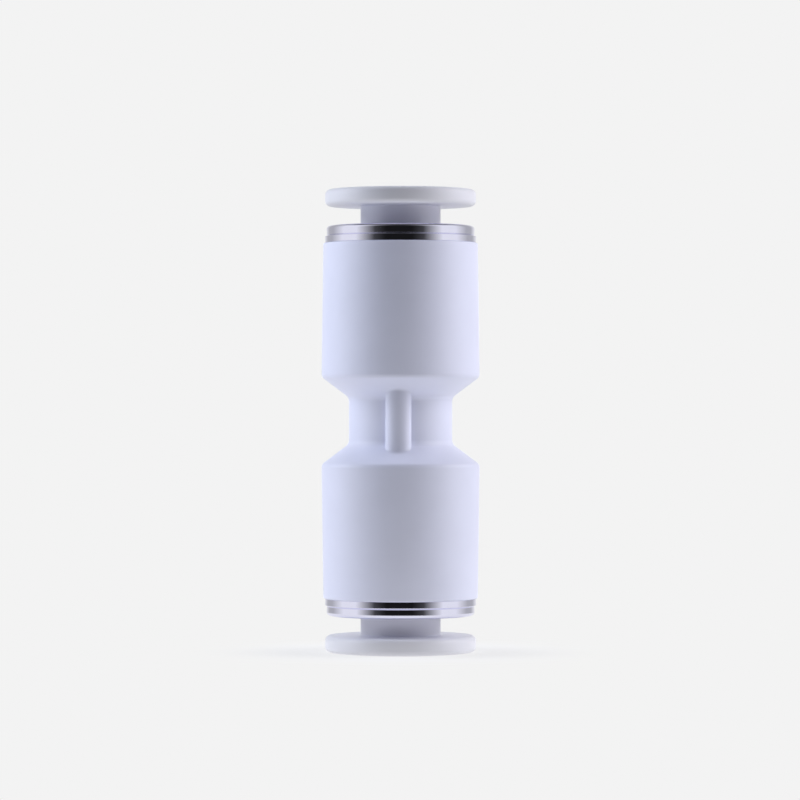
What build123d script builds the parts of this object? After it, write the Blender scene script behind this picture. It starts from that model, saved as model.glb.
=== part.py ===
from build123d import *
import os

# Straight push-fit union, which joins two air tubes of the same size end to end.
#
# A waisted plastic body has the same port at each end. From the middle outwards a port holds a lip seal,
# a backup ring, a ring of claws, a pressed-in metal collar, and a release ring that is pushed in to let
# the tube go. The union stands on the disc of its bottom release ring, with +Z up and the origin at the
# middle of that disc's face. Sizes are millimetres.

# The tube, and the bores that it runs through
tube_d = 4.0
passage_d = 2.5
seat_clearance = 0.04
backup_clearance = 0.12
release_clearance = 0.07

# Walls and steps, from the tube outwards
neck_wall = 0.6
neck_clearance = 0.04
catch_h = 0.3
catch_clearance = 0.08
collar_wall = 0.68
collar_barb_h = 0.12
body_wall = 1.3
body_draft = 0.12
waist_wall = 1.4
seal_wall = 1.2

# Lengths along a port, from the middle outwards
stop_l = 1.2
seat_l = 3.8
seal_l = 1.7
seal_room = 0.1
backup_floor = 0.25
collar_skirt_l = 3.6
collar_rim_l = 1.13
travel = 1.25
stop_gap = 0.06
disc_t = 1.12

# Outside of the body, and the edges of its bores
waist_l = 3.08
cone_l = 1.37
shoulder_round = 0.4
waist_round = 0.5
mouth_round = 0.12
mouth_lead = 0.15
seat_lead = 0.3

# Ribs on the waist
rib_h = 0.75
rib_crown_h = 0.23
rib_crown_w = 1.4
rib_base_w = 1.76
rib_round = 0.1
rib_root_depth = 0.35

# Seal lips
lip_bite = 0.15
lip_l = 1.1
lip_t = 0.35

# Claws
claw_count = 8
claw_t = 0.2
claw_bite = 0.15
claw_drop = 0.9
claw_gap = 0.35
claw_room = 0.1
claw_hinge_room = 0.05
ring_fit = 0.05

# Guide collar
collar_lip_l = 1.0
collar_barb_count = 3
collar_barb_pitch = 0.85
collar_barb_l = 0.45
collar_inset = 0.1
collar_mouth_lead = 0.12
rim_step = 0.1
rim_tier_l = 0.65
rim_groove_w = 0.12
rim_groove_depth = 0.09
rim_round = 0.28

# Release ring
disc_overhang = 0.12
disc_round = 0.36
disc_mouth_round = 0.4
catch_l = 0.85
catch_flat_l = 0.25
catch_gap = 0.05
nose_l = 0.4
nose_draw = 0.32
nose_gap = 0.05
slit_count = 4
slit_w = 0.5
slit_past_catch = 0.35

# Radii
tube_r = tube_d / 2
passage_r = passage_d / 2
seat_r = tube_r + seat_clearance
backup_r = tube_r + backup_clearance
release_r = tube_r + release_clearance
neck_r = release_r + neck_wall
collar_bore_r = neck_r + neck_clearance
catch_r = neck_r + catch_h
cavity_r = catch_r + catch_clearance
skirt_r = cavity_r + collar_wall
pocket_r = skirt_r + collar_barb_h
ring_r = pocket_r - ring_fit
mouth_r = pocket_r + body_wall
shoulder_r = mouth_r + body_draft
waist_r = seat_r + waist_wall
seal_r = tube_r + seal_wall
lip_r = tube_r - lip_bite
claw_tip_r = tube_r - claw_bite
claw_root_r = cavity_r - claw_hinge_room
rim_r = mouth_r - collar_inset
rim_top_r = rim_r - rim_step
disc_r = mouth_r - disc_overhang
nose_r = neck_r - nose_draw

# Stations, as distances from the middle of the union towards either end
stop_s = stop_l
waist_s = waist_l / 2
shoulder_s = waist_s + cone_l
seal_s = stop_s + seat_l
seal_heel_s = seal_s + lip_l
seal_top_s = seal_s + seal_l
backup_s = seal_top_s + seal_room
claw_s = backup_s + backup_floor + claw_drop + claw_room
collar_s = claw_s + claw_t
mouth_s = collar_s + collar_skirt_l
rim_s = mouth_s + collar_rim_l
groove_s = rim_s - rim_tier_l
collar_lip_s = rim_s - collar_lip_l
catch_s = collar_lip_s - catch_gap
disc_s = rim_s + travel + stop_gap
end_s = disc_s + disc_t

# Pushed all the way in, the nose of a release ring comes to rest just short of the slope of the claws
claw_slope = claw_drop / (claw_root_r - claw_tip_r)
nose_s = collar_s - (claw_root_r - nose_r) * claw_slope + nose_gap + travel
slit_l = catch_s + slit_past_catch - nose_s

# A rib has a rounded crown and drafted sides, which go on inside the waist at the same slope
rib_top_y = waist_r + rib_h
rib_side_y = rib_top_y - rib_crown_h
rib_root_y = waist_r - rib_root_depth
rib_draft = (rib_base_w - rib_crown_w) / (rib_side_y - waist_r)
rib_root_w = rib_base_w + rib_draft * rib_root_depth

# Half sections are drawn from the middle outwards: x is the radius, y the distance from the middle
middle_z = end_s
middle = (0, 0, middle_z)
section = {
    "top": Plane(middle, x_dir=(1, 0, 0), z_dir=(0, -1, 0)),
    "bottom": Plane(middle, x_dir=(1, 0, 0), z_dir=(0, 1, 0)),
}
across = {
    "top": Plane(middle, x_dir=(1, 0, 0), z_dir=(0, 0, 1)),
    "bottom": Plane(middle, x_dir=(1, 0, 0), z_dir=(0, 0, -1)),
}
tolerance = 1e-4


def rings_at(part, radius, station):
    """The round edges of that radius at that distance from the middle, on either side of it."""

    def is_there(edge):
        edge_s = abs(edge.arc_center.Z - middle_z)
        return abs(edge.radius - radius) < tolerance and abs(edge_s - station) < tolerance

    return part.edges().filter_by(GeomType.CIRCLE).filter_by(is_there)


os.makedirs("parts", exist_ok=True)

# Body: one moulding with a tapered barrel at each end, cones down to the waist, and stepped ports
with BuildPart() as body:
    for plane in section.values():
        with BuildSketch(plane):
            with BuildLine():
                Polyline(
                    (passage_r, 0),
                    (waist_r, 0),
                    (waist_r, waist_s),
                    (shoulder_r, shoulder_s),
                    (mouth_r, mouth_s),
                    (pocket_r, mouth_s),
                    (pocket_r, backup_s),
                    (seal_r, backup_s),
                    (seal_r, seal_s),
                    (seat_r, seal_s),
                    (seat_r, stop_s),
                    (passage_r, stop_s),
                    close=True,
                )
            make_face()
        revolve(axis=Axis.Z)
    fillet(rings_at(body, shoulder_r, shoulder_s), radius=shoulder_round)
    fillet(rings_at(body, waist_r, waist_s), radius=waist_round)
    fillet(rings_at(body, mouth_r, mouth_s), radius=mouth_round)
    chamfer(rings_at(body, pocket_r, mouth_s), length=mouth_lead)
    chamfer(rings_at(body, seat_r, seal_s), length=seat_lead)

    # A rib runs up the front of the waist and out into both cones, and another up the back
    with BuildSketch(Plane.XY.offset(middle_z)) as ribs:
        with BuildLine():
            Polyline(
                (-rib_crown_w / 2, -rib_side_y),
                (-rib_root_w / 2, -rib_root_y),
                (rib_root_w / 2, -rib_root_y),
                (rib_crown_w / 2, -rib_side_y),
            )
            ThreePointArc(
                (rib_crown_w / 2, -rib_side_y),
                (0, -rib_top_y),
                (-rib_crown_w / 2, -rib_side_y),
            )
        make_face()
        fillet(ribs.vertices().group_by(Axis.Y)[0], radius=rib_round)
        mirror(about=Plane.XZ)
    extrude(amount=shoulder_s, both=True)
body.part.label = "body"
export_step(body.part, "parts/body.step")

# Tube seals: a heel against the backup ring, and two legs that open towards the air pressure
for end, plane in section.items():
    with BuildPart() as tube_seal:
        with BuildSketch(plane):
            with BuildLine():
                Polyline(
                    (seal_r, seal_s),
                    (seal_r, seal_top_s),
                    (backup_r, seal_top_s),
                    (backup_r, seal_heel_s),
                    (lip_r, seal_s + lip_t),
                    (lip_r, seal_s),
                    (lip_r + lip_t, seal_s),
                    ((lip_r + seal_r) / 2, seal_heel_s),
                    (seal_r - lip_t, seal_s),
                    close=True,
                )
            make_face()
        revolve(axis=Axis.Z)
    tube_seal.part.label = f"tube_seal_{end}"
    export_step(tube_seal.part, f"parts/tube_seal_{end}.step")

# Backup rings: each closes the pocket of a seal, and its cone leaves room for the teeth of the claws
for end, plane in section.items():
    with BuildPart() as backup_ring:
        with BuildSketch(plane):
            with BuildLine():
                Polyline(
                    (backup_r, backup_s),
                    (ring_r, backup_s),
                    (ring_r, claw_s),
                    (claw_root_r + claw_room, claw_s),
                    (backup_r, backup_s + backup_floor),
                    close=True,
                )
            make_face()
        revolve(axis=Axis.Z)
    backup_ring.part.label = f"backup_ring_{end}"
    export_step(backup_ring.part, f"parts/backup_ring_{end}.step")

# Lock claws: stamped spring-steel rings, with sharp teeth bent inwards along the tube's way in
for end, plane in section.items():
    with BuildPart() as lock_claws:
        with BuildSketch(plane):
            with BuildLine():
                Polyline(
                    (ring_r, claw_s),
                    (ring_r, collar_s),
                    (claw_root_r, collar_s),
                    (claw_tip_r, collar_s - claw_drop),
                    (claw_tip_r, claw_s - claw_drop),
                    (claw_root_r, claw_s),
                    close=True,
                )
            make_face()
        revolve(axis=Axis.Z)
        with BuildSketch(across[end].offset(claw_s - claw_drop)):
            with PolarLocations(0, claw_count):
                Rectangle(claw_root_r, claw_gap, align=(Align.MIN, Align.CENTER))
        extrude(amount=claw_drop + claw_t, mode=Mode.SUBTRACT)
    lock_claws.part.label = f"lock_claws_{end}"
    export_step(lock_claws.part, f"parts/lock_claws_{end}.step")

# Guide collars: turned and plated, with a barbed skirt pressed into the body and a rim over its mouth
barbs = []
for i in range(collar_barb_count):
    barb_s = collar_s + collar_barb_pitch * (i + 1)
    barbs += [(skirt_r, barb_s - collar_barb_l), (pocket_r, barb_s), (skirt_r, barb_s)]

for end, plane in section.items():
    with BuildPart() as guide_collar:
        with BuildSketch(plane):
            with BuildLine():
                Polyline(
                    (cavity_r, collar_s),
                    (skirt_r, collar_s),
                    *barbs,
                    (skirt_r, mouth_s),
                    (rim_r, mouth_s),
                    (rim_r, groove_s - rim_groove_w / 2),
                    (rim_top_r - rim_groove_depth, groove_s),
                    (rim_top_r, groove_s + rim_groove_w / 2),
                    (rim_top_r, rim_s),
                    (collar_bore_r, rim_s),
                    (collar_bore_r, collar_lip_s),
                    (cavity_r, collar_lip_s),
                    close=True,
                )
            make_face()
        revolve(axis=Axis.Z)
        fillet(rings_at(guide_collar, rim_top_r, rim_s), radius=rim_round)
        chamfer(rings_at(guide_collar, collar_bore_r, rim_s), length=collar_mouth_lead)
    guide_collar.part.label = f"guide_collar_{end}"
    export_step(guide_collar.part, f"parts/guide_collar_{end}.step")

# Release rings: a disc to push on, a neck in the collar, and sprung legs with a catch and a nose
for end, plane in section.items():
    with BuildPart() as release_ring:
        with BuildSketch(plane):
            with BuildLine():
                Polyline(
                    (release_r, nose_s),
                    (nose_r, nose_s),
                    (neck_r, nose_s + nose_l),
                    (neck_r, catch_s - catch_l),
                    (catch_r, catch_s - catch_flat_l),
                    (catch_r, catch_s),
                    (neck_r, catch_s),
                    (neck_r, disc_s),
                    (disc_r, disc_s),
                    (disc_r, end_s),
                    (release_r, end_s),
                    close=True,
                )
            make_face()
        revolve(axis=Axis.Z)
        fillet(rings_at(release_ring, disc_r, disc_s), radius=disc_round)
        fillet(rings_at(release_ring, disc_r, end_s), radius=disc_round)
        fillet(rings_at(release_ring, release_r, end_s), radius=disc_mouth_round)
        with BuildSketch(across[end].offset(nose_s)):
            with PolarLocations(0, slit_count, start_angle=180 / slit_count):
                Rectangle(2 * catch_r, slit_w, align=(Align.MIN, Align.CENTER))
        extrude(amount=slit_l, mode=Mode.SUBTRACT)
    release_ring.part.label = f"release_ring_{end}"
    export_step(release_ring.part, f"parts/release_ring_{end}.step")
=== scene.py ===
import math

import bmesh
import bpy
from mathutils import Matrix, Vector


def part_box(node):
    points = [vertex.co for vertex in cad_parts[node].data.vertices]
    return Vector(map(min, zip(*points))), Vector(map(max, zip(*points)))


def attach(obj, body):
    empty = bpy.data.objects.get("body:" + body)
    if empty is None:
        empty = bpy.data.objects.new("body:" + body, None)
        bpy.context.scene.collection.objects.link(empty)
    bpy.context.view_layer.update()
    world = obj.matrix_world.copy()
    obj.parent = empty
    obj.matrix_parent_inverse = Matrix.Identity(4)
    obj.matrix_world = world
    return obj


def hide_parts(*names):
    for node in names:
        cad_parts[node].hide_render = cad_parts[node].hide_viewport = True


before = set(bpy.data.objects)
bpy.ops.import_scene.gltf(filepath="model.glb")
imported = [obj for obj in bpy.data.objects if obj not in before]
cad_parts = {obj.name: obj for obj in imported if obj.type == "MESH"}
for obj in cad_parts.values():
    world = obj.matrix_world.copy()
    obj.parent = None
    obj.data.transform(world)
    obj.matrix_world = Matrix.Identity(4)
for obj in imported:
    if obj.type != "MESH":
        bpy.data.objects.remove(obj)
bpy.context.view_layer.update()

mm = 0.001

# Camera: a long lens, level with the table and a little above half the height of the union, square to
# its front. It is far enough away that only the outermost discs show their faces.
camera_distance = 262 * mm
camera_height = 16.79 * mm
camera_turn = math.radians(2.5)
camera_aside = -0.04 * mm
lens_mm = 176.8

camera_data = bpy.data.cameras.new("camera")
camera_data.lens = lens_mm
camera_data.sensor_width = 36
camera_data.clip_start = 10 * mm
camera_data.clip_end = 20
camera = bpy.data.objects.new("camera", camera_data)
camera_place = Vector((camera_aside, -camera_distance, camera_height))
camera.location = Matrix.Rotation(camera_turn, 3, "Z") @ camera_place
camera.rotation_euler = (math.radians(90), 0, camera_turn)
bpy.context.scene.collection.objects.link(camera)
bpy.context.scene.camera = camera


# Body: one injection moulding in glossy white polybutylene terephthalate. Each barrel has a little draft
# towards its mouth, cones lead down to the waist, and inside lie the stepped ports and the tube stop.
# A drafted rib runs up the waist, front and back, and is blended into it and into both cones.
body_low, body_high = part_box("body")
middle_z = (body_low.z + body_high.z) / 2
mouth_s = (body_high.z - body_low.z) / 2
passage_r = 1.25 * mm
stop_s = 1.2 * mm
stop_round = 0.08 * mm
seat_r = 2.04 * mm
seat_lead = 0.3 * mm
seal_room_r = 3.2 * mm
seal_room_s = 5.0 * mm
pocket_r = 3.85 * mm
pocket_s = 6.8 * mm
mouth_r = 5.15 * mm
mouth_lead = 0.15 * mm
mouth_round = 0.12 * mm
shoulder_r = 5.27 * mm
shoulder_s = 2.91 * mm
shoulder_round = 0.4 * mm
waist_r = 3.44 * mm
waist_s = 1.54 * mm
waist_round = 0.5 * mm
rib_reach_r = 4.6 * mm
rib_top_y = 4.19 * mm
rib_crown_h = 0.62 * mm
rib_w = 1.64 * mm
rib_foot_softness = 0.18 * mm
rib_arc = math.radians(36)
rib_columns = 108
plain_columns = 96
cone_rows = 20
longest_row = 0.1 * mm
tolerance = 0.01 * mm
merge_dist = 0.001 * mm
sharp_turn = math.radians(38)
fewest_segments = 3
degrees_per_segment = 9


def add_outline(mesh, corners, closed=True):
    """Draws a section in the XZ plane. A corner is (radius, height), or (radius, height, round)."""
    points = [Vector((corner[0], 0, corner[1])) for corner in corners]
    verts = [mesh.verts.new(point) for point in points]
    following = verts[1:] + verts[:1] if closed else verts[1:]
    for vert, after in zip(verts, following):
        mesh.edges.new((vert, after))
    for i, corner in enumerate(corners):
        if len(corner) < 3:
            continue
        arriving = points[i] - points[i - 1]
        leaving = points[(i + 1) % len(points)] - points[i]
        turn = arriving.angle(leaving)
        bmesh.ops.bevel(
            mesh,
            geom=[verts[i]],
            offset=corner[2] * math.tan(turn / 2),
            offset_type="OFFSET",
            segments=max(fewest_segments, round(math.degrees(turn) / degrees_per_segment)),
            profile=0.5,
            affect="VERTICES",
            material=-1,
        )


def turn_outline(mesh, steps):
    """Spins the drawn section once round the tube axis and closes the seam."""
    bmesh.ops.spin(
        mesh,
        geom=mesh.verts[:] + mesh.edges[:],
        cent=(0, 0, 0),
        axis=(0, 0, 1),
        angle=math.tau,
        steps=steps,
        use_merge=True,
    )
    bmesh.ops.remove_doubles(mesh, verts=mesh.verts[:], dist=merge_dist)


def finish_piece(mesh, name, material, body, node):
    """Turns the mesh into the piece that stands for a node, smooth apart from its sharp corners."""
    bmesh.ops.recalc_face_normals(mesh, faces=mesh.faces[:])
    for face in mesh.faces:
        face.smooth = True
    for edge in mesh.edges:
        edge.smooth = edge.calc_face_angle(0) < sharp_turn
    data = bpy.data.meshes.new(name)
    mesh.to_mesh(data)
    mesh.free()
    data.materials.append(material)
    piece = bpy.data.objects.new(name, data)
    bpy.context.scene.collection.objects.link(piece)
    shading = piece.modifiers.new("even shading", "WEIGHTED_NORMAL")
    shading.weight = 65
    shading.keep_sharp = True
    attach(piece, body)
    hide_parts(node)
    return piece


def moulded_plastic(name, colour, roughness):
    """White plastic with the faintly cloudy tone and uneven shine of a moulding."""
    material = bpy.data.materials.new(name)
    material.use_nodes = True
    nodes = material.node_tree.nodes
    link = material.node_tree.links.new
    darkest_tone = 0.97
    smoother = 0.04
    rougher = 0.05
    plastic = nodes["Principled BSDF"]
    plastic.inputs["IOR"].default_value = 1.5
    plastic.inputs["Coat Weight"].default_value = 0.15
    plastic.inputs["Coat Roughness"].default_value = 0.2
    place = nodes.new("ShaderNodeTexCoord")

    # Cloudy tone, a few hundredths lighter or darker from place to place
    cloud = nodes.new("ShaderNodeTexNoise")
    cloud.inputs["Scale"].default_value = 0.35 / mm
    cloud.inputs["Detail"].default_value = 3
    link(place.outputs["Object"], cloud.inputs["Vector"])
    tone = nodes.new("ShaderNodeValToRGB")
    tone.color_ramp.elements[0].position = 0.3
    tone.color_ramp.elements[0].color = [channel * darkest_tone for channel in colour] + [1]
    tone.color_ramp.elements[1].position = 0.7
    tone.color_ramp.elements[1].color = [*colour, 1]
    link(cloud.outputs["Fac"], tone.inputs["Fac"])
    link(tone.outputs["Color"], plastic.inputs["Base Color"])

    # Shine that is a little uneven, as the skin of a moulding is
    shine = nodes.new("ShaderNodeMapRange")
    shine.inputs["To Min"].default_value = roughness - smoother
    shine.inputs["To Max"].default_value = roughness + rougher
    link(cloud.outputs["Fac"], shine.inputs["Value"])
    link(shine.outputs["Result"], plastic.inputs["Roughness"])
    return material


body_mesh = bmesh.new()
cone_slope = (shoulder_s - waist_s) / (shoulder_r - waist_r)
rib_reach_s = waist_s + (rib_reach_r - waist_r) * cone_slope
add_outline(
    body_mesh,
    [
        (passage_r, 0),
        (passage_r, stop_s, stop_round),
        (seat_r, stop_s),
        (seat_r, seal_room_s - seat_lead),
        (seat_r + seat_lead, seal_room_s),
        (seal_room_r, seal_room_s),
        (seal_room_r, pocket_s),
        (pocket_r, pocket_s),
        (pocket_r, mouth_s - mouth_lead),
        (pocket_r + mouth_lead, mouth_s),
        (mouth_r, mouth_s, mouth_round),
        (shoulder_r, shoulder_s, shoulder_round),
        (waist_r, waist_s, waist_round),
        (waist_r, 0),
    ],
    closed=False,
)

# The rows of the waist and of the low end of the cone lie close together, for the rib to rise in
bmesh.ops.bisect_plane(
    body_mesh,
    geom=body_mesh.verts[:] + body_mesh.edges[:],
    plane_co=(0, 0, rib_reach_s),
    plane_no=(0, 0, 1),
)
for edge in body_mesh.edges[:]:
    radii = [math.hypot(v.co.x, v.co.y) for v in edge.verts]
    heights = [v.co.z for v in edge.verts]
    on_rib = min(radii) > waist_r - tolerance and max(heights) < rib_reach_s + tolerance
    if on_rib and edge.calc_length() > longest_row:
        bmesh.ops.subdivide_edges(body_mesh, edges=[edge], cuts=cone_rows - 1)

# Columns are close together where the ribs are, and further apart between them
first_turn = -rib_arc / 2 - math.pi / 2
bmesh.ops.rotate(
    body_mesh, verts=body_mesh.verts[:], cent=(0, 0, 0), matrix=Matrix.Rotation(first_turn, 3, "Z")
)
sweep = body_mesh.verts[:] + body_mesh.edges[:]
for angle, steps in 2 * [(rib_arc, rib_columns), (math.pi - rib_arc, plain_columns)]:
    spun = bmesh.ops.spin(
        body_mesh, geom=sweep, cent=(0, 0, 0), axis=(0, 0, 1), angle=angle, steps=steps, use_merge=False
    )
    sweep = spun["geom_last"]
bmesh.ops.remove_doubles(body_mesh, verts=body_mesh.verts[:], dist=merge_dist)


def soft_least(a, b, softness):
    """The smaller of two lengths, with the corner between them rounded."""
    closeness = max(softness - abs(a - b), 0) / softness
    return min(a, b) - closeness ** 2 * softness / 4


# Seen from the axis, a rib reaches out to its half-oval crown or to its upright side, whichever is nearer
crown_foot = (rib_top_y - rib_crown_h) / rib_crown_h
for vert in body_mesh.verts:
    across, along, height = vert.co
    reach = math.hypot(across, along)
    if reach < waist_r - tolerance or height > rib_reach_s + tolerance:
        continue
    turn = math.atan2(abs(across), abs(along))
    if turn > rib_arc / 2:
        continue
    run = math.sin(turn) / (rib_w / 2)
    rise = math.cos(turn) / rib_crown_h
    to_rib = 1 / run if run > 0 else math.inf
    inside_crown = rise ** 2 - run ** 2 * (crown_foot ** 2 - 1)
    if inside_crown > 0:
        to_crown = (rise * crown_foot + math.sqrt(inside_crown)) / (run ** 2 + rise ** 2)
        to_rib = min(to_rib, to_crown)
    new_reach = -soft_least(-reach, -to_rib, rib_foot_softness)
    vert.co.x *= new_reach / reach
    vert.co.y *= new_reach / reach

bmesh.ops.mirror(
    body_mesh,
    geom=body_mesh.verts[:] + body_mesh.edges[:] + body_mesh.faces[:],
    matrix=Matrix.Identity(4),
    merge_dist=merge_dist,
    axis="Z",
)
bmesh.ops.remove_doubles(body_mesh, verts=body_mesh.verts[:], dist=merge_dist)
bmesh.ops.translate(body_mesh, verts=body_mesh.verts[:], vec=(0, 0, middle_z))
body_plastic = moulded_plastic("body plastic", (0.78, 0.8, 0.97), 0.42)
finish_piece(body_mesh, "body_shell", body_plastic, "fitting", "body")


# Tube seals: lip seals in black nitrile rubber, one in each port. A heel lies against the backup ring,
# and two legs open towards the air pressure, one on the tube and one on the wall of the pocket.
lip_r = 1.85 * mm
lip_t = 0.35 * mm
lip_l = 1.1 * mm
lip_tip_round = 0.04 * mm
lip_fork_round = 0.1 * mm
heel_bore_r = 2.12 * mm
heel_round = 0.12 * mm
hidden_columns = 96

rubber = bpy.data.materials.new("seal rubber")
rubber.use_nodes = True
rubber_nodes = rubber.node_tree.nodes
rubber_link = rubber.node_tree.links.new
rubber_skin = rubber_nodes["Principled BSDF"]
rubber_skin.inputs["Base Color"].default_value = (0.018, 0.018, 0.02, 1)
rubber_skin.inputs["Sheen Weight"].default_value = 0.1
rubber_place = rubber_nodes.new("ShaderNodeTexCoord")
rubber_bloom = rubber_nodes.new("ShaderNodeTexNoise")
rubber_bloom.inputs["Scale"].default_value = 1.5 / mm
rubber_link(rubber_place.outputs["Object"], rubber_bloom.inputs["Vector"])
rubber_shine = rubber_nodes.new("ShaderNodeMapRange")
rubber_shine.inputs["To Min"].default_value = 0.4
rubber_shine.inputs["To Max"].default_value = 0.65
rubber_link(rubber_bloom.outputs["Fac"], rubber_shine.inputs["Value"])
rubber_link(rubber_shine.outputs["Result"], rubber_skin.inputs["Roughness"])


def from_middle(low_z, high_z, up):
    """The nearest and farthest distance of a piece from the middle of the union."""
    return (low_z - middle_z, high_z - middle_z) if up else (middle_z - high_z, middle_z - low_z)


def stand_in_port(mesh, up):
    """Moves a piece drawn by its distance from the middle into the port at the top or the bottom."""
    if not up:
        bmesh.ops.scale(mesh, verts=mesh.verts[:], vec=(1, 1, -1))
    bmesh.ops.translate(mesh, verts=mesh.verts[:], vec=(0, 0, middle_z))


for end, up in (("top", True), ("bottom", False)):
    node = f"tube_seal_{end}"
    low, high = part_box(node)
    near_s, far_s = from_middle(low.z, high.z, up)
    outer_r = high.x
    seal_mesh = bmesh.new()
    add_outline(
        seal_mesh,
        [
            (outer_r, near_s),
            (outer_r, far_s, heel_round),
            (heel_bore_r, far_s, heel_round),
            (heel_bore_r, near_s + lip_l),
            (lip_r, near_s + lip_t, lip_tip_round),
            (lip_r, near_s),
            (lip_r + lip_t, near_s, lip_tip_round),
            ((lip_r + outer_r) / 2, near_s + lip_l, lip_fork_round),
            (outer_r - lip_t, near_s, lip_tip_round),
        ],
    )
    turn_outline(seal_mesh, hidden_columns)
    stand_in_port(seal_mesh, up)
    finish_piece(seal_mesh, f"lip_seal_{end}", rubber, "fitting", node)


# Backup rings: plain acetal rings that close the pocket of each seal. The cone cut into their outer
# side leaves room for the teeth of the claws to bend.
cone_floor = 0.25 * mm
cone_top_r = 3.1 * mm
backup_bore_r = 2.12 * mm
backup_inner_round = 0.05 * mm
backup_outer_round = 0.08 * mm
backup_plastic = moulded_plastic("backup plastic", (0.72, 0.71, 0.68), 0.45)

for end, up in (("top", True), ("bottom", False)):
    node = f"backup_ring_{end}"
    low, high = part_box(node)
    near_s, far_s = from_middle(low.z, high.z, up)
    backup_mesh = bmesh.new()
    add_outline(
        backup_mesh,
        [
            (backup_bore_r, near_s, backup_inner_round),
            (high.x, near_s, backup_outer_round),
            (high.x, far_s, backup_outer_round),
            (cone_top_r, far_s, backup_inner_round),
            (backup_bore_r, near_s + cone_floor, backup_inner_round),
        ],
    )
    turn_outline(backup_mesh, hidden_columns)
    stand_in_port(backup_mesh, up)
    finish_piece(backup_mesh, f"backing_{end}", backup_plastic, "fitting", node)


# Lock claws: a flat ring of stainless spring steel, stamped with eight teeth that are bent inwards along
# the tube's way in. The ring is clamped between the backup ring and the guide collar.
claw_steel = bpy.data.materials.new("claw steel")
claw_steel.use_nodes = True
claw_nodes = claw_steel.node_tree.nodes
claw_link = claw_steel.node_tree.links.new
claw_skin = claw_nodes["Principled BSDF"]
claw_skin.inputs["Metallic"].default_value = 1
claw_skin.inputs["Base Color"].default_value = (0.62, 0.61, 0.59, 1)
claw_place = claw_nodes.new("ShaderNodeTexCoord")
claw_rolling = claw_nodes.new("ShaderNodeMapping")
claw_rolling.inputs["Scale"].default_value = (0.6 / mm, 18 / mm, 18 / mm)
claw_link(claw_place.outputs["Object"], claw_rolling.inputs["Vector"])
claw_lines = claw_nodes.new("ShaderNodeTexNoise")
claw_lines.inputs["Scale"].default_value = 1
claw_link(claw_rolling.outputs["Vector"], claw_lines.inputs["Vector"])
claw_shine = claw_nodes.new("ShaderNodeMapRange")
claw_shine.inputs["To Min"].default_value = 0.2
claw_shine.inputs["To Max"].default_value = 0.4
claw_link(claw_lines.outputs["Fac"], claw_shine.inputs["Value"])
claw_link(claw_shine.outputs["Result"], claw_skin.inputs["Roughness"])

for end in ("top", "bottom"):
    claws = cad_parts[f"lock_claws_{end}"]
    claws.data.materials.clear()
    claws.data.materials.append(claw_steel)


# Guide collars: turned from brass and plated with bright nickel. A skirt is pressed into the mouth of
# the body, and the rim that stays outside has two tiers with a fine groove between them.
collar_bore_r = 2.71 * mm
collar_cavity_r = 3.05 * mm
collar_skirt_r = 3.73 * mm
collar_skirt_round = 0.05 * mm
collar_lip_l = 1.0 * mm
collar_lip_round = 0.04 * mm
collar_mouth_lead = 0.12 * mm
rim_step = 0.1 * mm
rim_tier_l = 0.65 * mm
rim_groove_w = 0.09 * mm
rim_groove_depth = 0.07 * mm
rim_round = 0.22 * mm
rim_edge_round = 0.02 * mm
rim_draft = 0.03
barb_count = 3
barb_pitch = 0.85 * mm
barb_l = 0.45 * mm
seen_columns = 192

nickel = bpy.data.materials.new("bright nickel")
nickel.use_nodes = True
nickel_nodes = nickel.node_tree.nodes
nickel_link = nickel.node_tree.links.new
nickel_skin = nickel_nodes["Principled BSDF"]
nickel_skin.inputs["Metallic"].default_value = 1
nickel_skin.inputs["Base Color"].default_value = (0.79, 0.79, 0.94, 1)
nickel_place = nickel_nodes.new("ShaderNodeTexCoord")

# Turning lines run round the collar, so they depend on the radius and the height alone
nickel_split = nickel_nodes.new("ShaderNodeSeparateXYZ")
nickel_link(nickel_place.outputs["Object"], nickel_split.inputs["Vector"])
nickel_flat = nickel_nodes.new("ShaderNodeCombineXYZ")
nickel_link(nickel_split.outputs["X"], nickel_flat.inputs["X"])
nickel_link(nickel_split.outputs["Y"], nickel_flat.inputs["Y"])
nickel_radius = nickel_nodes.new("ShaderNodeVectorMath")
nickel_radius.operation = "LENGTH"
nickel_link(nickel_flat.outputs["Vector"], nickel_radius.inputs[0])
nickel_turned = nickel_nodes.new("ShaderNodeCombineXYZ")
nickel_link(nickel_radius.outputs["Value"], nickel_turned.inputs["X"])
nickel_link(nickel_split.outputs["Z"], nickel_turned.inputs["Y"])
nickel_lines = nickel_nodes.new("ShaderNodeTexNoise")
nickel_lines.inputs["Scale"].default_value = 22 / mm
nickel_lines.inputs["Detail"].default_value = 3
nickel_link(nickel_turned.outputs["Vector"], nickel_lines.inputs["Vector"])
nickel_relief = nickel_nodes.new("ShaderNodeBump")
nickel_relief.inputs["Strength"].default_value = 0.05
nickel_relief.inputs["Distance"].default_value = 0.004 * mm
nickel_link(nickel_lines.outputs["Fac"], nickel_relief.inputs["Height"])
nickel_link(nickel_relief.outputs["Normal"], nickel_skin.inputs["Normal"])
nickel_haze = nickel_nodes.new("ShaderNodeTexNoise")
nickel_haze.inputs["Scale"].default_value = 0.9 / mm
nickel_link(nickel_place.outputs["Object"], nickel_haze.inputs["Vector"])
nickel_shine = nickel_nodes.new("ShaderNodeMapRange")
nickel_shine.inputs["To Min"].default_value = 0.03
nickel_shine.inputs["To Max"].default_value = 0.06
nickel_link(nickel_haze.outputs["Fac"], nickel_shine.inputs["Value"])
nickel_link(nickel_shine.outputs["Result"], nickel_skin.inputs["Roughness"])

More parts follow.
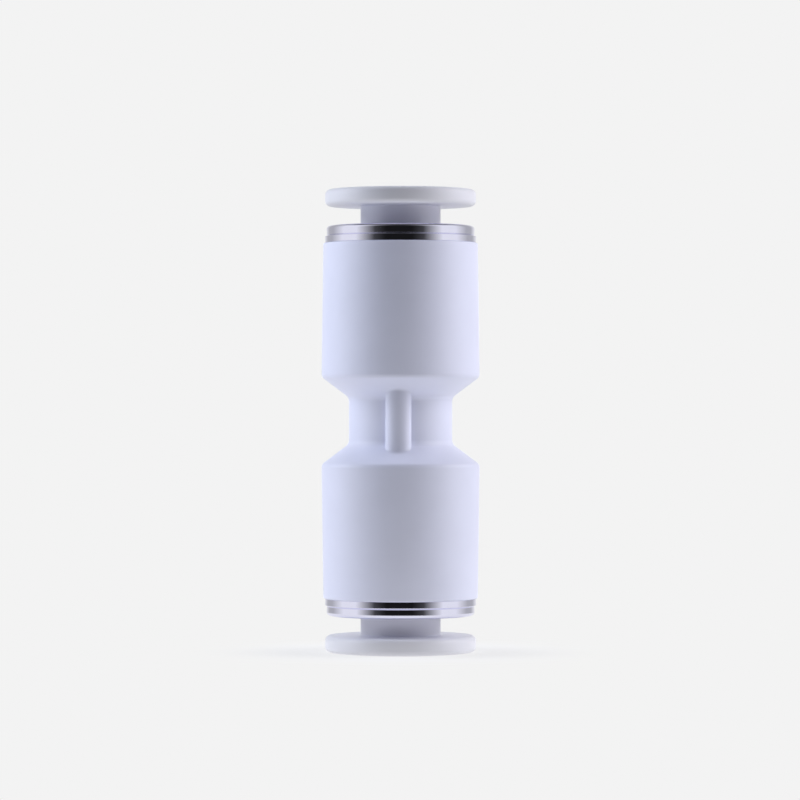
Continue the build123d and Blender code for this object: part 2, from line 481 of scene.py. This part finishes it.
for end, up in (("top", True), ("bottom", False)):
    node = f"guide_collar_{end}"
    low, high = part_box(node)
    near_s, far_s = from_middle(low.z, high.z, up)
    rim_r = high.x
    tier_r = rim_r - rim_step
    groove_s = far_s - rim_tier_l
    barbs = []
    for i in range(barb_count):
        crest_s = near_s + barb_pitch * (i + 1)
        barbs += [(collar_skirt_r, crest_s - barb_l), (pocket_r, crest_s), (collar_skirt_r, crest_s)]
    collar_mesh = bmesh.new()
    add_outline(
        collar_mesh,
        [
            (collar_cavity_r, near_s),
            (collar_skirt_r, near_s, collar_skirt_round),
            *barbs,
            (collar_skirt_r, mouth_s),
            (rim_r - (groove_s - mouth_s) * rim_draft, mouth_s, rim_edge_round),
            (rim_r, groove_s - rim_groove_w / 2, rim_edge_round),
            (tier_r - rim_groove_depth, groove_s, rim_edge_round),
            (tier_r - rim_tier_l * rim_draft, groove_s + rim_groove_w / 2, rim_edge_round),
            (tier_r, far_s, rim_round),
            (collar_bore_r + collar_mouth_lead, far_s),
            (collar_bore_r, far_s - collar_mouth_lead),
            (collar_bore_r, far_s - collar_lip_l, collar_lip_round),
            (collar_cavity_r, far_s - collar_lip_l),
        ],
    )
    turn_outline(collar_mesh, seen_columns)
    stand_in_port(collar_mesh, up)
    finish_piece(collar_mesh, f"nickel_collar_{end}", nickel, "fitting", node)


# Release rings: one moulding each in white acetal. Pushing on the disc sends the nose against the claws
# and frees the tube. The catch on the four sprung legs snaps in behind the lip of the collar.
ring_bore_r = 2.07 * mm
ring_neck_r = 2.67 * mm
ring_catch_r = 2.97 * mm
disc_t = 1.12 * mm
disc_round = 0.36 * mm
disc_mouth_round = 0.4 * mm
disc_root_round = 0.12 * mm
catch_s = 11.93 * mm
catch_l = 0.85 * mm
catch_flat_l = 0.25 * mm
catch_tip_round = 0.06 * mm
catch_edge_round = 0.05 * mm
catch_root_round = 0.03 * mm
nose_r = 2.35 * mm
nose_l = 0.4 * mm
nose_round = 0.05 * mm
slit_count = 4
slit_w = 0.5 * mm
slit_l = 3.24 * mm
ring_plastic = moulded_plastic("release ring plastic", (0.79, 0.79, 0.86), 0.36)


def cut_slit(mesh, turn, slit_end_s):
    """Cuts a slit with parallel walls into the leg end of a ring, and closes its walls and its end."""
    outwards = Vector((math.cos(turn), math.sin(turn), 0))
    across = Vector((-math.sin(turn), math.cos(turn), 0))
    touch = 0.002 * mm
    snap = touch / 4

    def on_leg(face):
        centre = face.calc_center_median()
        return centre.z < slit_end_s and centre.dot(outwards) > abs(centre.dot(across))

    bmesh.ops.bisect_plane(
        mesh,
        geom=mesh.verts[:] + mesh.edges[:] + mesh.faces[:],
        plane_co=(0, 0, slit_end_s),
        plane_no=(0, 0, 1),
    )
    for side in (-1, 1):
        leg_faces = [face for face in mesh.faces if on_leg(face)]
        leg_edges = {edge for face in leg_faces for edge in face.edges}
        leg_verts = {vert for face in leg_faces for vert in face.verts}
        bmesh.ops.bisect_plane(
            mesh,
            geom=list(leg_verts) + list(leg_edges) + leg_faces,
            dist=snap,
            plane_co=across * side * slit_w / 2,
            plane_no=across,
        )
    bmesh.ops.remove_doubles(mesh, verts=mesh.verts[:], dist=snap)
    leg_faces = [face for face in mesh.faces if on_leg(face)]
    in_slit = [face for face in leg_faces if abs(face.calc_center_median().dot(across)) < slit_w / 2]
    bmesh.ops.delete(mesh, geom=in_slit, context="FACES")
    rim_edges = [edge for edge in mesh.edges if edge.is_boundary]
    walls = [[], []]
    end_edges = []
    for edge in rim_edges:
        places = [vert.co.dot(across) for vert in edge.verts]
        if min(places) > slit_w / 2 - touch:
            walls[0].append(edge)
        elif max(places) < touch - slit_w / 2:
            walls[1].append(edge)
        else:
            end_edges.append(edge)
    for wall in walls:
        corners = {vert for edge in wall for vert in edge.verts if vert.co.z > slit_end_s - touch}
        top_edge = mesh.edges.new(sorted(corners, key=lambda vert: vert.co.length))
        end_edges.append(top_edge)
        bmesh.ops.contextual_create(mesh, geom=wall + [top_edge])
    bmesh.ops.contextual_create(mesh, geom=end_edges)


for end, up in (("top", True), ("bottom", False)):
    node = f"release_ring_{end}"
    low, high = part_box(node)
    near_s, far_s = from_middle(low.z, high.z, up)
    disc_r = high.x
    ring_mesh = bmesh.new()
    add_outline(
        ring_mesh,
        [
            (ring_bore_r, near_s),
            (nose_r, near_s, nose_round),
            (ring_neck_r, near_s + nose_l),
            (ring_neck_r, catch_s - catch_l),
            (ring_catch_r, catch_s - catch_flat_l, catch_tip_round),
            (ring_catch_r, catch_s, catch_edge_round),
            (ring_neck_r, catch_s, catch_root_round),
            (ring_neck_r, far_s - disc_t, disc_root_round),
            (disc_r, far_s - disc_t, disc_round),
            (disc_r, far_s, disc_round),
            (ring_bore_r, far_s, disc_mouth_round),
        ],
    )
    turn_outline(ring_mesh, seen_columns)
    for i in range(slit_count):
        cut_slit(ring_mesh, math.radians(360 / slit_count * (i + 0.5)), near_s + slit_l)
    stand_in_port(ring_mesh, up)
    finish_piece(ring_mesh, f"push_ring_{end}", ring_plastic, f"release_{end}", node)


# Turntable: a round pale sheet that glows by itself to the tone of the backdrop, so that its edge is lost
# in it.
# The glow is painted light, which also lights the union from below. The union stands on it and leaves a
# soft shadow.
backdrop_tone = 0.896
table_r = 48 * mm
# Near the union the sheet shows this painted glow, as its share, and lit paper for the rest
table_glow = 0.94
table_glow_share = 0.7
shadow_near_r = 6 * mm
shadow_far_r = 14 * mm

table_mesh = bmesh.new()
bmesh.ops.create_circle(table_mesh, cap_ends=True, segments=128, radius=table_r)
table_data = bpy.data.meshes.new("turntable")
table_mesh.to_mesh(table_data)
table_mesh.free()
table = bpy.data.objects.new("turntable", table_data)
bpy.context.scene.collection.objects.link(table)

sheet = bpy.data.materials.new("turntable sheet")
sheet.use_nodes = True
sheet_nodes = sheet.node_tree.nodes
sheet_link = sheet.node_tree.links.new
sheet_nodes.clear()
sheet_paper = sheet_nodes.new("ShaderNodeBsdfDiffuse")
sheet_paper.inputs["Color"].default_value = (0.82, 0.82, 0.83, 1)
sheet_glow = sheet_nodes.new("ShaderNodeEmission")
sheet_mix = sheet_nodes.new("ShaderNodeMixShader")

# A little way from the union the painted glow takes over the whole sheet, paints out the shadow and gives
# the plain tone of the backdrop
sheet_place = sheet_nodes.new("ShaderNodeTexCoord")
sheet_reach = sheet_nodes.new("ShaderNodeVectorMath")
sheet_reach.operation = "LENGTH"
sheet_link(sheet_place.outputs["Object"], sheet_reach.inputs[0])
sheet_fades = (
    (sheet_mix.inputs["Fac"], table_glow_share, 1),
    (sheet_glow.inputs["Color"], table_glow, backdrop_tone),
)
for socket, near_value, far_value in sheet_fades:
    sheet_fade = sheet_nodes.new("ShaderNodeMapRange")
    sheet_fade.interpolation_type = "SMOOTHSTEP"
    sheet_fade.inputs["From Min"].default_value = shadow_near_r
    sheet_fade.inputs["From Max"].default_value = shadow_far_r
    sheet_fade.inputs["To Min"].default_value = near_value
    sheet_fade.inputs["To Max"].default_value = far_value
    sheet_link(sheet_reach.outputs["Value"], sheet_fade.inputs["Value"])
    sheet_link(sheet_fade.outputs["Result"], socket)
sheet_link(sheet_paper.outputs["BSDF"], sheet_mix.inputs[1])
sheet_link(sheet_glow.outputs["Emission"], sheet_mix.inputs[2])
sheet_out = sheet_nodes.new("ShaderNodeOutputMaterial")
sheet_link(sheet_mix.outputs["Shader"], sheet_out.inputs["Surface"])
table_data.materials.append(sheet)


# Light: a studio that is dark round the camera and overhead. Tall soft panels stand at both sides, a
# weaker pair shines up from below the table's edge, and a small panel hangs high above the camera.
studio_offset = math.radians(2.3)
side_strength = 5.6
low_strength = 2.8
front_strength = 0.6
back_share = 0.08
left_tint = (0.95, 1, 1.1, 1)
right_tint = (1, 1, 1.05, 1)
tint_reach = 0.5
dark_tone = 0.01
dim_tone = 0.06
grey_tone = 0.48
pale_tone = 0.9

studio = bpy.data.worlds.new("studio")
bpy.context.scene.world = studio
studio.use_nodes = True
studio_nodes = studio.node_tree.nodes
studio_link = studio.node_tree.links.new
studio_nodes.clear()
studio_way = studio_nodes.new("ShaderNodeTexCoord")
studio_turn = studio_nodes.new("ShaderNodeMapping")
studio_turn.vector_type = "VECTOR"
studio_turn.inputs["Rotation"].default_value = (0, 0, studio_offset - camera_turn)
studio_link(studio_way.outputs["Generated"], studio_turn.inputs["Vector"])
studio_split = studio_nodes.new("ShaderNodeSeparateXYZ")
studio_link(studio_turn.outputs["Vector"], studio_split.inputs["Vector"])


def studio_profile(axis, stops):
    """Tone by the angle from the negative end of an axis, in straight steps between the stops."""
    turn = studio_nodes.new("ShaderNodeMapRange")
    turn.inputs["From Min"].default_value = -1
    studio_link(studio_split.outputs[axis], turn.inputs["Value"])
    tones = studio_nodes.new("ShaderNodeValToRGB")
    studio_link(turn.outputs["Result"], tones.inputs["Fac"])
    places = [(1 - math.cos(math.radians(degrees))) / 2 for degrees, tone in stops]
    ramp = tones.color_ramp
    while len(ramp.elements) < len(stops):
        ramp.elements.new(0.5)
    for i, place in enumerate(places):
        ramp.elements[i].position = place
    for i, (degrees, tone) in enumerate(stops):
        ramp.elements[i].color = [tone, tone, tone, 1]
    return tones.outputs["Color"]


def studio_times(first, second):
    """Product of two tones."""
    product = studio_nodes.new("ShaderNodeMix")
    product.data_type = "RGBA"
    product.blend_type = "MULTIPLY"
    product.inputs[0].default_value = 1
    studio_link(first, product.inputs[6])
    if isinstance(second, float):
        product.inputs[7].default_value = (second, second, second, 1)
    else:
        studio_link(second, product.inputs[7])
    return product.outputs[2]


def studio_plus(first, second):
    """Sum of two tones."""
    total = studio_nodes.new("ShaderNodeMix")
    total.data_type = "RGBA"
    total.blend_type = "ADD"
    total.inputs[0].default_value = 1
    studio_link(first, total.inputs[6])
    studio_link(second, total.inputs[7])
    return total.outputs[2]


def soft_panel(round_edges, height_edges, strength):
    """A panel with soft edges. In each direction it starts, is full, begins to fade and ends.

    The angles are in degrees, the first four from the camera's side and the others from straight below.
    The wall behind the union sends back a small share of the panel's light.
    """
    across = studio_profile("Y", list(zip(round_edges, (0, 1, 1, back_share))))
    upright = studio_profile("Z", list(zip(height_edges, (0, 1, 1, 0))))
    return studio_times(studio_times(across, upright), strength)


side_panels = soft_panel(
    round_edges=(68, 90, 102, 138),
    height_edges=(97, 108, 135, 142),
    strength=side_strength,
)
low_panels = soft_panel(
    round_edges=(38, 74, 86, 116),
    height_edges=(30, 50, 78, 95),
    strength=low_strength,
)
front_panel = soft_panel(
    round_edges=(30, 40, 84, 96),
    height_edges=(132, 138, 158, 164),
    strength=front_strength,
)
studio_sum = studio_plus(studio_plus(side_panels, low_panels), front_panel)

# The left side is a little bluer than the right
studio_side = studio_nodes.new("ShaderNodeMapRange")
studio_side.inputs["From Min"].default_value = -tint_reach
studio_side.inputs["From Max"].default_value = tint_reach
studio_link(studio_split.outputs["X"], studio_side.inputs["Value"])
studio_tint = studio_nodes.new("ShaderNodeMix")
studio_tint.data_type = "RGBA"
studio_link(studio_side.outputs["Result"], studio_tint.inputs[0])
studio_tint.inputs[6].default_value = left_tint
studio_tint.inputs[7].default_value = right_tint
studio_light = studio_nodes.new("ShaderNodeBackground")
studio_link(studio_times(studio_sum, studio_tint.outputs[2]), studio_light.inputs["Color"])

# Mirrored in metal, the room has about the tone of the backdrop. It is dark round the camera and under
# the ceiling, and greyer to the left and right behind the union.
room_tone = studio_profile(
    "Y",
    [
        (20, dark_tone),
        (38, dim_tone),
        (70, pale_tone),
        (98, pale_tone),
        (126, grey_tone),
        (144, grey_tone),
        (180, pale_tone),
    ],
)
ceiling_tone = studio_profile("Z", [(128, 1), (142, 0.1)])
studio_room = studio_nodes.new("ShaderNodeBackground")
studio_link(studio_times(room_tone, ceiling_tone), studio_room.inputs["Color"])

# The lens itself sees a plain pale backdrop
studio_backdrop = studio_nodes.new("ShaderNodeBackground")
studio_backdrop.inputs["Color"].default_value = (backdrop_tone, backdrop_tone, backdrop_tone, 1)
studio_ray = studio_nodes.new("ShaderNodeLightPath")
studio_mirrored = studio_nodes.new("ShaderNodeMath")
studio_mirrored.operation = "MAXIMUM"
studio_link(studio_ray.outputs["Is Glossy Ray"], studio_mirrored.inputs[0])
studio_link(studio_ray.outputs["Is Transmission Ray"], studio_mirrored.inputs[1])
studio_seen = studio_nodes.new("ShaderNodeMixShader")
studio_link(studio_mirrored.outputs["Value"], studio_seen.inputs["Fac"])
studio_link(studio_light.outputs["Background"], studio_seen.inputs[1])
studio_link(studio_room.outputs["Background"], studio_seen.inputs[2])
studio_mix = studio_nodes.new("ShaderNodeMixShader")
studio_link(studio_ray.outputs["Is Camera Ray"], studio_mix.inputs["Fac"])
studio_link(studio_seen.outputs["Shader"], studio_mix.inputs[1])
studio_link(studio_backdrop.outputs["Background"], studio_mix.inputs[2])
studio_out = studio_nodes.new("ShaderNodeOutputWorld")
studio_link(studio_mix.outputs["Shader"], studio_out.inputs["Surface"])

bpy.context.scene.view_settings.view_transform = "Standard"
